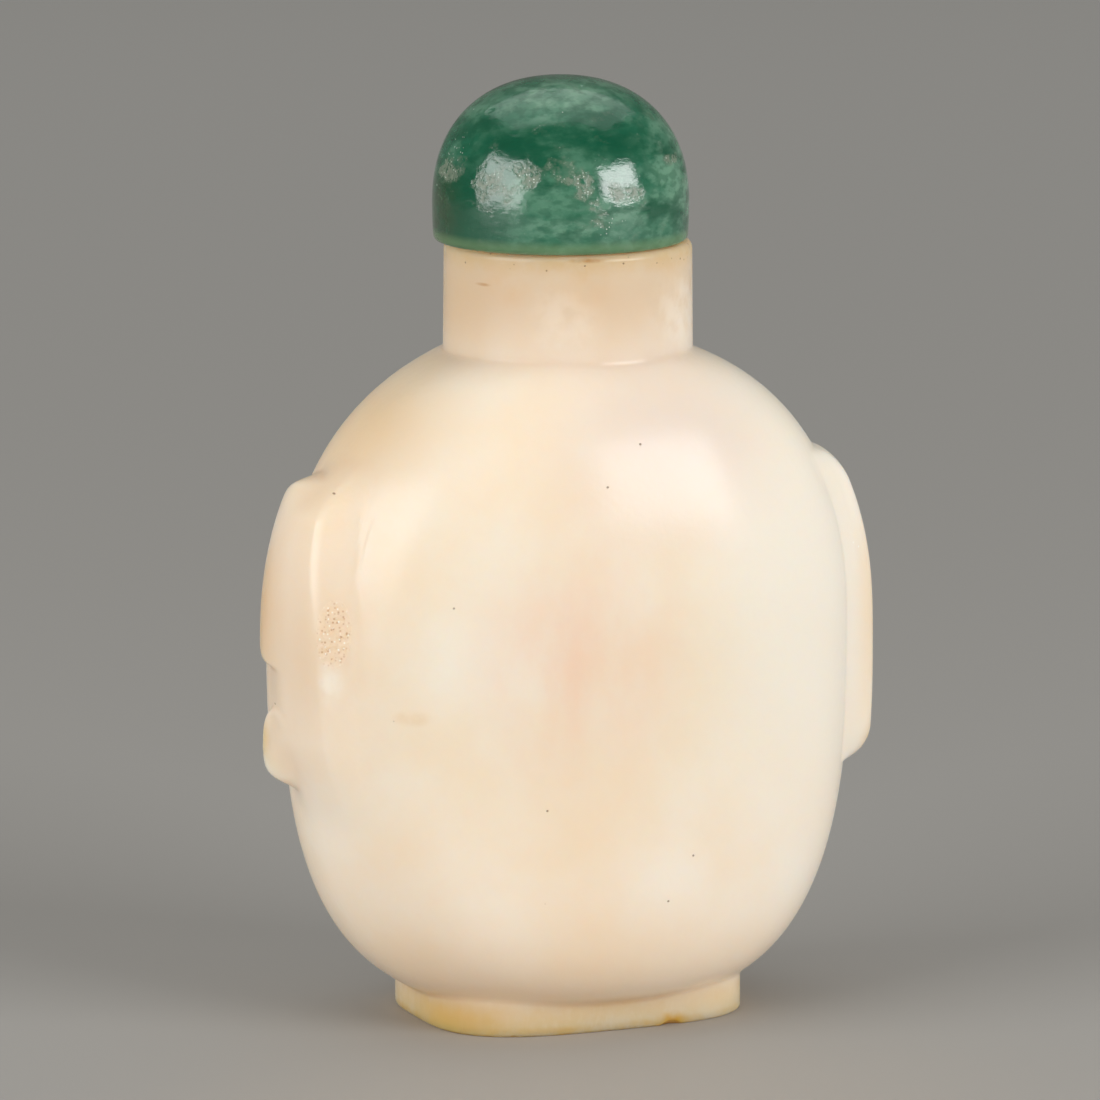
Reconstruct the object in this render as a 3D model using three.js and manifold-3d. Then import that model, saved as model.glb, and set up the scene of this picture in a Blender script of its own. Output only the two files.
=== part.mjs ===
// A flattened snuff bottle carved from one pale hardstone pebble, with a green stone stopper.
// The bottle is a single hollow carving: an oval foot rim, a rounded body, a straight round neck,
// and on each narrow side a worn mask that holds a ring, both cut in low relief.
// Millimetres, +Z up, +X towards one ringed side, origin under the middle of the foot.
import * as THREE from "three";
import { mergeVertices } from "three/addons/utils/BufferGeometryUtils.js";
import Module from "manifold-3d";

const wasm = await Module();
wasm.setup();

// Body: each quarter of its outline is a superellipse from the belly to one end.
const BELLY_Z = 25.5;
const SECTION_POWER = 2.2;
const WIDTH = { half: 19.56, atNeck: 8.4, atFoot: 11.1, up: [2.4, 2.2], down: [2.8, 3.4] };
const DEPTH = { half: 12.7, atNeck: 8.4, atFoot: 9.0, up: [3, 2.4], down: [8, 3] };

// Foot: an oval rim with a sunk centre.
const FOOT = { halfWidth: 10.95, halfDepth: 8.75, power: 3.3, height: 2.06, rim: 1.7, sunk: 1.1 };

// Neck and mouth.
const NECK = { radius: 8.38, mouthRadius: 8.25, base: 44.65, top: 52.1, edge: 0.55 };
const MOUTH_RADIUS = 3.5;

// Cavity: drilled out through the mouth, leaving a wall of about 3 mm.
const CAVITY = { bottom: 5.2, top: 44.4, halfWidth: 16.3, halfDepth: 9.5, power: 2.4 };

// Relief on the narrow sides, a little different on each. The ring leans in towards its top by lean.
const SIDES = [
  {
    turn: 0,
    mask: { z: 29.9, halfHeight: 7.6, halfWidth: 6.2, proud: 1.95 },
    ring: { z: 20.3, radius: 3.8, halfWidth: 0.95, proud: 2.0, lean: 0.01, floor: 1.45 },
  },
  {
    turn: 180,
    mask: { z: 30.0, halfHeight: 7.3, halfWidth: 6.0, proud: 1.75 },
    ring: { z: 20.6, radius: 3.35, halfWidth: 0.85, proud: 2.05, lean: 0.17, floor: 1.1 },
  },
];
const RELIEF = { outlinePower: 2.3, maskPower: 3.6, floorPower: 8, root: 1.6 };

// Stopper: a domed cap, a little off centre, with a plain peg under it.
const CAP = {
  radius: 8.55,
  baseRadius: 8.3,
  height: 10.9,
  skirt: 2.4,
  edge: 0.35,
  power: 2.26,
  offset: [-0.45, 0.17],
};
const PEG = { radius: 2.95, length: 4.6 };

const STONE = { color: 0xeadbc0, roughness: 0.32, metalness: 0 };
const GREEN_STONE = { color: 0x2c6b4c, roughness: 0.18, metalness: 0 };

// Half size of the body at height z, for the outline's width or depth.
function halfSize(z, outline) {
  const above = z > BELLY_Z;
  const [n, m] = above ? outline.up : outline.down;
  const end = above ? outline.atNeck : outline.atFoot;
  const run = Math.abs((above ? NECK.base : FOOT.height) - BELLY_Z);
  const reach = run / (1 - (end / outline.half) ** m) ** (1 / n);
  const part = Math.min(Math.abs(z - BELLY_Z) / reach, 1);
  return outline.half * (1 - part ** n) ** (1 / m);
}

// Point on a superellipse of half sizes a and b.
function superellipse(angle, a, b, power) {
  const c = Math.cos(angle);
  const s = Math.sin(angle);
  return [
    Math.sign(c) * Math.abs(c) ** (2 / power) * a,
    Math.sign(s) * Math.abs(s) ** (2 / power) * b,
  ];
}

// How far out the body's narrow side lies at (y, z).
function sideX(y, z) {
  const across = Math.abs(y) / halfSize(z, DEPTH);
  return halfSize(z, WIDTH) * (1 - across ** SECTION_POWER) ** (1 / SECTION_POWER);
}

// Closed skin over rings of points, all of one length, with a fan over each end.
function skinRings(rings) {
  const count = rings[0].length;
  const positions = rings.flat(2);
  const index = [];
  for (let i = 0; i + 1 < rings.length; i++) {
    for (let j = 0; j < count; j++) {
      const a = i * count + j;
      const b = i * count + ((j + 1) % count);
      index.push(a, b, b + count, a, b + count, a + count);
    }
  }
  for (const [ring, flip] of [[0, true], [rings.length - 1, false]]) {
    const centre = positions.length / 3;
    const middle = [0, 1, 2].map((k) => rings[ring].reduce((sum, p) => sum + p[k], 0) / count);
    positions.push(...middle);
    for (let j = 0; j < count; j++) {
      const a = ring * count + j;
      const b = ring * count + ((j + 1) % count);
      index.push(centre, ...(flip ? [b, a] : [a, b]));
    }
  }
  const geometry = new THREE.BufferGeometry();
  geometry.setAttribute("position", new THREE.Float32BufferAttribute(positions, 3));
  geometry.setIndex(index);
  return geometry;
}

function ovalRing(z, a, b, power, count) {
  return Array.from({ length: count }, (_, j) => {
    return [...superellipse((2 * Math.PI * j) / count, a, b, power), z];
  });
}

// Heights from the foot to the neck, evenly spread along the outline's curve.
function bodyHeights(rows) {
  const heights = [];
  const [nDown, mDown] = WIDTH.down;
  const [nUp, mUp] = WIDTH.up;
  const turnDown = Math.acos((WIDTH.atFoot / WIDTH.half) ** (mDown / 2));
  const turnUp = Math.acos((WIDTH.atNeck / WIDTH.half) ** (mUp / 2));
  const down = BELLY_Z - FOOT.height;
  const up = NECK.base - BELLY_Z;
  for (let i = rows; i > 0; i--) {
    const share = Math.sin((turnDown * i) / rows) / Math.sin(turnDown);
    heights.push(BELLY_Z - down * share ** (2 / nDown));
  }
  for (let i = 0; i <= rows; i++) {
    const share = Math.sin((turnUp * i) / rows) / Math.sin(turnUp);
    heights.push(BELLY_Z + up * share ** (2 / nUp));
  }
  return heights;
}

function bodySkin() {
  const columns = 56;
  const rings = bodyHeights(15).map((z) => {
    return ovalRing(z, halfSize(z, WIDTH), halfSize(z, DEPTH), SECTION_POWER, columns);
  });
  return skinRings(rings);
}

function ovalShape(a, b, power, count) {
  const points = ovalRing(0, a, b, power, count).map(([x, y]) => new THREE.Vector2(x, y));
  return new THREE.Shape(points);
}

function footBlock() {
  const into = 0.8;
  const shape = ovalShape(FOOT.halfWidth, FOOT.halfDepth, FOOT.power, 56);
  return new THREE.ExtrudeGeometry(shape, { depth: FOOT.height + into, bevelEnabled: false });
}

function footRecess() {
  const below = 1;
  const a = FOOT.halfWidth - FOOT.rim;
  const b = FOOT.halfDepth - FOOT.rim;
  const shape = ovalShape(a, b, FOOT.power, 40);
  const options = { depth: FOOT.sunk + below, bevelEnabled: false };
  return new THREE.ExtrudeGeometry(shape, options).translate(0, 0, -below);
}

// Profile points of a quarter circle, from level with its centre to above it.
function arcPoints(centreR, centreZ, radius, steps) {
  return Array.from({ length: steps + 1 }, (_, i) => {
    const turn = (Math.PI / 2) * (i / steps);
    return new THREE.Vector2(centreR + radius * Math.cos(turn), centreZ + radius * Math.sin(turn));
  });
}

// Turns a profile given as (radius, height) about the Z axis.
function turned(profile, segments) {
  return new THREE.LatheGeometry(profile, segments).rotateX(Math.PI / 2);
}

function neckSleeve() {
  const into = 2;
  const { radius, mouthRadius, base, top, edge } = NECK;
  const profile = [
    new THREE.Vector2(0, base - into),
    new THREE.Vector2(radius, base - into),
    ...arcPoints(mouthRadius - edge, top - edge, edge, 4),
    new THREE.Vector2(0, top),
  ];
  return turned(profile, 56);
}

function mouthBore() {
  const over = 1;
  const low = CAVITY.top - 3;
  const chamfer = 0.3;
  const profile = [
    new THREE.Vector2(0, low),
    new THREE.Vector2(MOUTH_RADIUS, low),
    new THREE.Vector2(MOUTH_RADIUS, NECK.top - chamfer),
    new THREE.Vector2(MOUTH_RADIUS + chamfer, NECK.top),
    new THREE.Vector2(MOUTH_RADIUS + chamfer, NECK.top + over),
    new THREE.Vector2(0, NECK.top + over),
  ];
  return turned(profile, 32);
}

function cavitySkin() {
  const rows = 18;
  const columns = 32;
  const middle = (CAVITY.top + CAVITY.bottom) / 2;
  const reach = (CAVITY.top - CAVITY.bottom) / 2;
  const rings = Array.from({ length: rows - 1 }, (_, i) => {
    const turn = -Math.PI / 2 + (Math.PI * (i + 1)) / rows;
    const share = Math.cos(turn) ** (2 / CAVITY.power);
    const z = middle + reach * Math.sign(turn) * Math.abs(Math.sin(turn)) ** (2 / CAVITY.power);
    return ovalRing(z, CAVITY.halfWidth * share, CAVITY.halfDepth * share, SECTION_POWER, columns);
  });
  return skinRings(rings);
}

// Rounded height of a relief at a share of the way from its middle to its edge.
function swell(share, proud, power) {
  return proud * (1 - Math.min(share, 1) ** power) ** (1 / power);
}

// A domed oval pad that follows the body's narrow side, rooted inside the wall.
function sidePad({ z, halfWidth, halfHeight, proud }, power, rows, columns) {
  const ringAt = (share, height) => {
    return Array.from({ length: columns }, (_, j) => {
      const angle = (2 * Math.PI * j) / columns;
      const { outlinePower } = RELIEF;
      const [y, up] = superellipse(angle, halfWidth * share, halfHeight * share, outlinePower);
      return [sideX(y, z + up) + height, y, z + up];
    });
  };
  const rings = [ringAt(0.5, -RELIEF.root), ringAt(1, -RELIEF.root)];
  const crowding = 1.8;
  for (let i = 0; i < rows; i++) {
    const share = 1 - (i / rows) ** crowding;
    rings.push(ringAt(share, swell(share, proud, power)));
  }
  return skinRings(rings);
}

// The flat disc that the ring encloses.
function ringFloor({ z, radius, floor }) {
  const disc = { z, halfWidth: radius, halfHeight: radius, proud: floor };
  return sidePad(disc, RELIEF.floorPower, 3, 20);
}

// The ring that hangs from the mask, half sunk in the body's narrow side.
function ringBand({ z: middle, radius, halfWidth, proud, lean }) {
  const around = 24;
  const across = 8;
  const loops = Array.from({ length: around }, (_, i) => {
    const turn = (2 * Math.PI * i) / around;
    return Array.from({ length: across }, (_, j) => {
      const roll = (2 * Math.PI * j) / across;
      const rise = Math.sin(roll);
      const reach = radius + halfWidth * Math.cos(roll);
      const y = reach * Math.cos(turn);
      const z = middle + reach * Math.sin(turn);
      const crest = proud - lean * (z - middle + radius);
      return [sideX(y, z) + rise * (rise > 0 ? crest : RELIEF.root), y, z];
    });
  });
  const index = [];
  for (let i = 0; i < around; i++) {
    for (let j = 0; j < across; j++) {
      const a = i * across + j;
      const b = i * across + ((j + 1) % across);
      const c = ((i + 1) % around) * across + j;
      const d = ((i + 1) % around) * across + ((j + 1) % across);
      index.push(a, c, d, a, d, b);
    }
  }
  const geometry = new THREE.BufferGeometry();
  geometry.setAttribute("position", new THREE.Float32BufferAttribute(loops.flat(2), 3));
  geometry.setIndex(index);
  return geometry;
}

function solidOf(geometry) {
  const bare = new THREE.BufferGeometry();
  bare.setAttribute("position", geometry.getAttribute("position"));
  bare.setIndex(geometry.index);
  const merged = mergeVertices(bare, 1e-4);
  const mesh = new wasm.Mesh({
    numProp: 3,
    vertProperties: merged.attributes.position.array,
    triVerts: new Uint32Array(merged.index.array),
  });
  const solid = new wasm.Manifold(mesh);
  if (solid.volume() > 0) return solid;
  mesh.triVerts.reverse();
  return new wasm.Manifold(mesh);
}

function geometryOf(solid) {
  const { vertProperties, triVerts } = solid.getMesh();
  const geometry = new THREE.BufferGeometry();
  geometry.setAttribute("position", new THREE.BufferAttribute(vertProperties, 3));
  geometry.setIndex(new THREE.BufferAttribute(triVerts, 1));
  geometry.computeVertexNormals();
  return geometry;
}

function sideRelief({ turn, mask, ring }) {
  return solidOf(sidePad(mask, RELIEF.maskPower, 7, 32))
    .add(solidOf(ringFloor(ring)))
    .add(solidOf(ringBand(ring)))
    .rotate([0, 0, turn]);
}

function bottleSolid() {
  let stone = solidOf(bodySkin()).add(solidOf(footBlock())).add(solidOf(neckSleeve()));
  for (const side of SIDES) {
    stone = stone.add(sideRelief(side));
  }
  return stone
    .subtract(solidOf(footRecess()))
    .subtract(solidOf(cavitySkin()))
    .subtract(solidOf(mouthBore()));
}

// Half outline of the stopper: peg, flat seat, short skirt and dome.
function stopperProfile() {
  const seat = NECK.top;
  const { radius, baseRadius, skirt, edge, power } = CAP;
  const side = [0, 0.3, 0.6].map((share) => {
    const r = radius - (radius - baseRadius) * (1 - share) ** 2;
    return new THREE.Vector2(r, seat + edge + (skirt - edge) * share);
  });
  const steps = 14;
  const dome = Array.from({ length: steps + 1 }, (_, i) => {
    const [r, up] = superellipse((Math.PI / 2) * (i / steps), radius, CAP.height - skirt, power);
    return new THREE.Vector2(i < steps ? r : 0, seat + skirt + up);
  });
  return [
    new THREE.Vector2(0, seat - PEG.length),
    new THREE.Vector2(PEG.radius - 0.3, seat - PEG.length),
    new THREE.Vector2(PEG.radius, seat - PEG.length + 0.3),
    new THREE.Vector2(PEG.radius, seat),
    new THREE.Vector2(baseRadius - edge, seat),
    ...side,
    ...dome,
  ];
}

function named(name, geometry, finish) {
  const mesh = new THREE.Mesh(geometry, new THREE.MeshStandardMaterial(finish));
  mesh.name = name;
  return mesh;
}

const snuffBottle = new THREE.Group();

const bottle = named("bottle", geometryOf(bottleSolid()), STONE);
snuffBottle.add(bottle);

const stopper = named("stopper", turned(stopperProfile(), 40), GREEN_STONE);
stopper.position.set(...CAP.offset, 0);
snuffBottle.add(stopper);

export default snuffBottle;
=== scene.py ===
"""A snuff bottle of pale stone with a green stone stopper, standing on a pale table."""

import math

import bpy
import numpy as np
from mathutils import Matrix, Vector, noise


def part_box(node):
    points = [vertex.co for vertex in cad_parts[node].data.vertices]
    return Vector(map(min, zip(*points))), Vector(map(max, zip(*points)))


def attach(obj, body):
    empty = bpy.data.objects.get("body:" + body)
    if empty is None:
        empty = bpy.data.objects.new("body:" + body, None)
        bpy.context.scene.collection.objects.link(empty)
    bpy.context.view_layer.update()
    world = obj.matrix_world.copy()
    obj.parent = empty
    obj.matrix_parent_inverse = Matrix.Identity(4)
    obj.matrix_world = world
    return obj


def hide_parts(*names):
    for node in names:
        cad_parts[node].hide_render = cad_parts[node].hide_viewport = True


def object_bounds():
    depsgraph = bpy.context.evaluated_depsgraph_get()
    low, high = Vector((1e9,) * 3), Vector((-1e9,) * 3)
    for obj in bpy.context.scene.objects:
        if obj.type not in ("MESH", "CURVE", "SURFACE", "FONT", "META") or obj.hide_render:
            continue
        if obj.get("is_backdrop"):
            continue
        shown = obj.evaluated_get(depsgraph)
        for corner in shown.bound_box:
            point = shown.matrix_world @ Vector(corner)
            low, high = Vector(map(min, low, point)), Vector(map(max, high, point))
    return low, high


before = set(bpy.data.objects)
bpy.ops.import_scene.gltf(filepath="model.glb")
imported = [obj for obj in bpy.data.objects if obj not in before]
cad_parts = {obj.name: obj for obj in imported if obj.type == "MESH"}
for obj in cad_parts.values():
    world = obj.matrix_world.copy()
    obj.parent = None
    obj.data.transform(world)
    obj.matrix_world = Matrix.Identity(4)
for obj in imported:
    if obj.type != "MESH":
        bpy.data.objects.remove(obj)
cad_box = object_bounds()


# The bottle's form.
# One pebble of pale hardstone, ground to a flattened oval on a low foot, with a straight round neck.
# It is drilled out through the mouth, so the wall is about 3 mm thick all round. All sizes are in mm.

MM = 0.001
SECTION_POWER = 2.2
bottle_high = np.array(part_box("bottle")[1]) / MM
MOUTH_Z = bottle_high[2]
BELLY_Z = 25.5
NECK_Z = 44.65
WIDTH = {"half": 19.72, "neck": 8.5, "foot": 11.25, "up": (2.4, 2.2), "down": (2.6, 3.4)}
DEPTH = {"half": bottle_high[1], "neck": 8.4, "foot": 9.0, "up": (3.0, 2.4), "down": (8.0, 3.0)}
FOOT = {"half_width": 11.1, "half_depth": 8.75, "power": 3.3, "z": 2.06, "rim": 1.7, "sunk": 1.1}
FOOT_EDGE = {"wall": 0.02, "wall_z": (0.8, 0.4, 0.12), "inner": 0.12, "outer": 0.2}
NECK = {"radius": 8.34, "mouth": 8.26, "edge": 0.5}
FILLET = {"foot": 0.4, "neck": 0.3}
BORE = {"radius": 3.5, "chamfer": 0.3}
CAVITY = {"low": 5.2, "high": 44.4, "half_width": 16.3, "half_depth": 9.5, "power": 2.4}


def half_size(z, outline):
    """Half width or depth of the body at each height z."""
    above = z > BELLY_Z
    size = np.empty_like(z)
    for part, end, end_z, (n, m) in (
        (above, outline["neck"], NECK_Z, outline["up"]),
        (~above, outline["foot"], FOOT["z"], outline["down"]),
    ):
        reach = abs(end_z - BELLY_Z) / (1 - (end / outline["half"]) ** m) ** (1 / n)
        share = np.minimum(np.abs(z[part] - BELLY_Z) / reach, 0.9999)
        size[part] = outline["half"] * (1 - share**n) ** (1 / m)
    return size


def oval_reach(angle, half_width, half_depth, power):
    """Distance from the axis to an oval ring, in each direction."""
    across = np.abs(np.cos(angle) / half_width) ** power
    return (across + np.abs(np.sin(angle) / half_depth) ** power) ** (-1 / power)


def soft_max(a, b, blend):
    """The larger of two heights, with the crease between them rounded over blend."""
    lean = np.clip(0.5 + 0.5 * (a - b) / blend, 0, 1)
    return b + (a - b) * lean + blend * lean * (1 - lean)


def spread(start, end, count, closeness):
    """Stations from start to end, closer together where closeness is larger."""
    fine = np.linspace(start, end, 6001)
    total = np.concatenate([[0], np.cumsum(closeness((fine[1:] + fine[:-1]) / 2))])
    return np.interp(np.linspace(0, total[-1], count), total, fine)


# Columns run up the bottle. They crowd together on the carved sides and at the chips in the foot.
COLUMN_COUNT = 300
CLOSER_COLUMNS = {"carved": 5.5, "chip": 4}
CARVED_HALF_ANGLE = math.radians(21)
CHIP_HALF_ANGLE = math.radians(7)
FOOT_CHIPS = {
    "amber": {"at": (3.95, -9.25, -0.85), "radius": 1.35},
    "bright": {"at": (-7.35, -8.45, -0.5), "radius": 0.8},
}
chip_angles = [math.atan2(chip["at"][1], chip["at"][0]) for chip in FOOT_CHIPS.values()]


def column_closeness(angle):
    side = np.minimum(np.abs(angle), math.pi - np.abs(angle))
    closeness = 1 + CLOSER_COLUMNS["carved"] * (side < CARVED_HALF_ANGLE)
    for chip_angle in chip_angles:
        near_chip = np.abs(angle - chip_angle) < CHIP_HALF_ANGLE
        closeness = closeness + CLOSER_COLUMNS["chip"] * near_chip
    return closeness


columns = spread(-math.pi, math.pi, COLUMN_COUNT + 1, column_closeness)[:-1]
cos_columns, sin_columns = np.cos(columns), np.sin(columns)
foot_reach = oval_reach(columns, FOOT["half_width"], FOOT["half_depth"], FOOT["power"])
recess_reach = oval_reach(
    columns, FOOT["half_width"] - FOOT["rim"], FOOT["half_depth"] - FOOT["rim"], FOOT["power"]
)
rings = []


def add_ring(reach, z):
    rings.append((np.broadcast_to(reach, columns.shape), z))


# Underside: a sunk oval in the foot, a flat rim and a rounded lower edge.
for share in np.linspace(0.15, 1, 6):
    add_ring(recess_reach * share, FOOT["sunk"])
for z in FOOT_EDGE["wall_z"]:
    add_ring(recess_reach + FOOT_EDGE["wall"], z)
inner, outer = recess_reach + FOOT_EDGE["inner"], foot_reach - FOOT_EDGE["outer"]
add_ring(inner, 0)
for share in np.linspace(0.2, 1, 6):
    add_ring(inner + (outer - inner) * share, 0)
for turn in np.linspace(0, math.pi / 2, 5)[1:]:
    add_ring(outer + FOOT_EDGE["outer"] * math.sin(turn), FOOT_EDGE["outer"] * (1 - math.cos(turn)))

# Outside wall: the foot, the body and the neck run into each other with narrow fillets. Its rows
# crowd together on the carving, in both fillets and on the foot.
ROW_COUNT = 232
CLOSER_ROWS = {"slope": 6, "carved": 3.4, "crease": 5, "foot": 2.5}
OUTSIDE_START = len(rings)
CARVED_Z = (15.0, 38.4)
FOOT_TOP = FOOT["z"] + 0.8
NECK_EDGE_Z = MOUTH_Z - NECK["edge"]


def row_closeness(z):
    slope = np.abs(np.gradient(half_size(np.clip(z, FOOT["z"], NECK_Z), WIDTH), z))
    carved = (z > CARVED_Z[0]) & (z < CARVED_Z[1])
    crease = (np.abs(z - FOOT["z"]) < 0.7) | (np.abs(z - NECK_Z) < 0.5)
    closeness = 1 + np.minimum(slope, CLOSER_ROWS["slope"]) + CLOSER_ROWS["carved"] * carved
    return closeness + CLOSER_ROWS["crease"] * crease + CLOSER_ROWS["foot"] * (z < FOOT["z"])


for z in spread(0.3, NECK_EDGE_Z, ROW_COUNT, row_closeness):
    at = np.full(1, z)
    reach = oval_reach(columns, half_size(at, WIDTH)[0], half_size(at, DEPTH)[0], SECTION_POWER)
    if z < FOOT_TOP:
        reach = soft_max(reach, foot_reach, FILLET["foot"])
    if z > NECK_Z - 3:
        taper = (z - NECK_Z) / (NECK_EDGE_Z - NECK_Z)
        neck = NECK["radius"] + (NECK["mouth"] - NECK["radius"]) * max(taper, 0)
        above_fillet = z > NECK_Z + 0.4
        reach = np.full_like(reach, neck) if above_fillet else soft_max(reach, neck, FILLET["neck"])
    add_ring(reach, z)
OUTSIDE_END = len(rings)

# Mouth: a rounded lip, a flat top, a small chamfer and the drilled bore.
for turn in np.linspace(0, math.pi / 2, 7)[1:]:
    reach = NECK["mouth"] - NECK["edge"] * (1 - math.cos(turn))
    add_ring(reach, NECK_EDGE_Z + NECK["edge"] * math.sin(turn))
inner, outer = BORE["radius"] + BORE["chamfer"], NECK["mouth"] - NECK["edge"]
for share in np.linspace(0, 1, 5)[1:]:
    add_ring(outer + (inner - outer) * share, MOUTH_Z)
for z in np.linspace(MOUTH_Z - BORE["chamfer"], CAVITY["high"] + 0.1, 9):
    add_ring(BORE["radius"], z)

# Cavity: an oval hollow down to its floor.
cavity_middle = (CAVITY["high"] + CAVITY["low"]) / 2
cavity_reach = (CAVITY["high"] - CAVITY["low"]) / 2
for turn in np.linspace(math.pi / 2, -math.pi / 2, 34)[1:-1]:
    share = math.cos(turn) ** (2 / CAVITY["power"])
    height_share = math.copysign(abs(math.sin(turn)) ** (2 / CAVITY["power"]), turn)
    half_width, half_depth = CAVITY["half_width"] * share, CAVITY["half_depth"] * share
    reach = oval_reach(columns, half_width, half_depth, SECTION_POWER)
    if height_share > 0.8:
        reach = np.maximum(reach, BORE["radius"])
    add_ring(reach, cavity_middle + cavity_reach * height_share)

reaches = np.array([reach for reach, z in rings])
heights = np.repeat(np.array([[z] for reach, z in rings], dtype=float), COLUMN_COUNT, axis=1)
stone = np.stack([reaches * cos_columns, reaches * sin_columns, heights], axis=2)


# The bottle's carving and wear.
# Each narrow side carries an old motif in low relief, a mask that holds a ring, worn almost plain.
# The foot has two small chips, and the mask on the -X side has a patch of rough unpolished stone.

# The bar is the front half of the motif, worn smooth. It starts edge mm in front of the middle and
# slopes up over ramp mm. Sweep moves that slope back with height, and lean makes the bar stand out
# more towards its bottom, or towards its top where it is negative.
SIDES = (
    {
        "side": 1,
        "mask": {"y": 0, "z": 29.6, "half_height": 7.25, "half_width": 6.2, "proud": 2.05},
        "ring": {"z": 20.2, "radius": 3.7, "half_width": 0.95, "power": 3.0, "proud": 2.05, "lean": 0.0},
        "jaw": {"half_width": 5.2, "z": (16.6, 28.0), "proud": 2.05},
        "bar": {"edge": 6.1, "ramp": 1.8, "sweep": 0, "proud": 1.64, "lean": 0.022},
        "bar_ends": {"top": (35.2, 37.6), "bottom": (18.4, 16.3), "powers": (2.0, 0.5)},
        "sunk": 0.25,
    },
    {
        "side": -1,
        "mask": {"y": -0.3, "z": 30.75, "half_height": 6.65, "half_width": 6.4, "proud": 1.8},
        "ring": {"z": 19.35, "radius": 2.4, "half_width": 0.8, "power": 2.0, "proud": 2.15, "lean": 0.1},
        "jaw": {"half_width": 6.2, "z": (16.4, 31.0), "proud": 1.22},
        "bar": {"edge": 7.0, "ramp": 1.6, "sweep": 0.2, "proud": 1.48, "lean": -0.03},
        "bar_ends": {"top": (34.8, 38.6), "bottom": (20.0, 14.2), "powers": (1.5, 1.4)},
        "sunk": 0.3,
    },
)
OUTLINE_POWER = 2.6
CROWN = 0.35
MASK_BEVEL = {"side": 1.5, "end": 0.75}
RING_BEVEL = {"outer": 1.1, "inner": 1.2}
JAW_EDGE = {"side": 0.8, "foot": 1.6, "top": 1.1, "curve": 0.09}
CREASE = {"ring_to_jaw": 0.3, "mask_to_ring": 0.5, "bar": 0.2}
BORDER_LINE = {"in": 1.1, "width": 0.12, "depth": 0.06, "z": 32.6, "reach": 3.0}
BAR_TILT_Z = 27.0
WORN_FROM_Y = 1.9
BEVEL_POWER = 1.3


def bevel(inset, width):
    """Worn edge of a relief: 0 at its outline, rising to 1 at width mm inside it."""
    share = np.clip(inset / width, 0, 1)
    return np.sin(share * math.pi / 2) ** BEVEL_POWER


def ease(share):
    """A smooth step from 0 to 1."""
    share = np.clip(share, 0, 1)
    return share * share * (3 - 2 * share)


def relief(y, z, mask, ring, jaw, bar, bar_ends, sunk):
    """How far the carving stands out from the body at (y, z)."""
    across = (np.abs(y - mask["y"]) / mask["half_width"]) ** OUTLINE_POWER
    up = (np.abs(z - mask["z"]) / mask["half_height"]) ** OUTLINE_POWER
    share = (across + up) ** (1 / OUTLINE_POWER)
    endness = up / np.maximum(across + up, 1e-6)
    width = MASK_BEVEL["side"] + (MASK_BEVEL["end"] - MASK_BEVEL["side"]) * endness
    edge = bevel((1 - share) * mask["half_width"], width)
    mask_height = mask["proud"] * edge * (1 - CROWN * np.minimum(share, 1) ** 2.5 * (1 - endness))

    # The ring hangs below the mask, with a slightly sunk middle, and the mask's jaw bridges the two.
    power = ring["power"]
    from_middle = (np.abs(y) ** power + np.abs(z - ring["z"]) ** power) ** (1 / power)
    crest = ring["proud"] - ring["lean"] * (z - ring["z"] + ring["radius"])
    band = crest * bevel(ring["radius"] + ring["half_width"] - from_middle, RING_BEVEL["outer"])
    band = np.maximum(band - sunk * bevel(ring["radius"] - from_middle, RING_BEVEL["inner"]), 0)
    low, high = jaw["z"]
    jaw_side = (jaw["half_width"] - np.abs(y)) / MASK_BEVEL["side"] * JAW_EDGE["side"]
    bridge = jaw["proud"] * ease(jaw_side)
    bridge = bridge * bevel(z - low - JAW_EDGE["curve"] * y * y, JAW_EDGE["foot"])
    bridge = bridge * ease((high - z) / JAW_EDGE["top"])

    def merged(mask_part, ring_part, jaw_part):
        lower = soft_max(ring_part, jaw_part, CREASE["ring_to_jaw"])
        return soft_max(mask_part, lower, CREASE["mask_to_ring"])

    motif = np.maximum(merged(mask_height, band, bridge) - merged(0, 0, 0), 0)

    # Towards the front the motif is worn into one smooth bar.
    inward = (y + bar["edge"] - bar["sweep"] * np.maximum(z - BAR_TILT_Z, 0)) / bar["ramp"]
    worn = -soft_max(-(np.clip(inward, 0, 2) ** 1.1), -np.ones_like(y), CREASE["bar"])
    inner_power, outer_power = bar_ends["powers"]
    for start, end in (bar_ends["top"], bar_ends["bottom"]):
        past = np.clip((z - start) / (end - start), 0, 1)
        worn = worn * (1 - past**inner_power) ** outer_power
    lined = np.exp(-(((z - BORDER_LINE["z"]) / BORDER_LINE["reach"]) ** 4))
    groove = np.exp(-(((y + bar["edge"] - BORDER_LINE["in"]) / BORDER_LINE["width"]) ** 2))
    bar_height = worn * (bar["proud"] + bar["lean"] * (BAR_TILT_Z - z))
    smooth_bar = bar_height - groove * BORDER_LINE["depth"] * lined
    return motif + (smooth_bar - motif) * ease((WORN_FROM_Y - y) / (2 * WORN_FROM_Y))


CARVED = ("mask", "ring", "jaw", "bar", "bar_ends", "sunk")
outside = stone[OUTSIDE_START:OUTSIDE_END]
for carving in SIDES:
    on_this_side = outside[..., 0] * carving["side"] > 0
    raised = relief(outside[..., 1], outside[..., 2], *[carving[key] for key in CARVED])
    outside[..., 0] += np.where(on_this_side, raised * carving["side"], 0)

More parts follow.
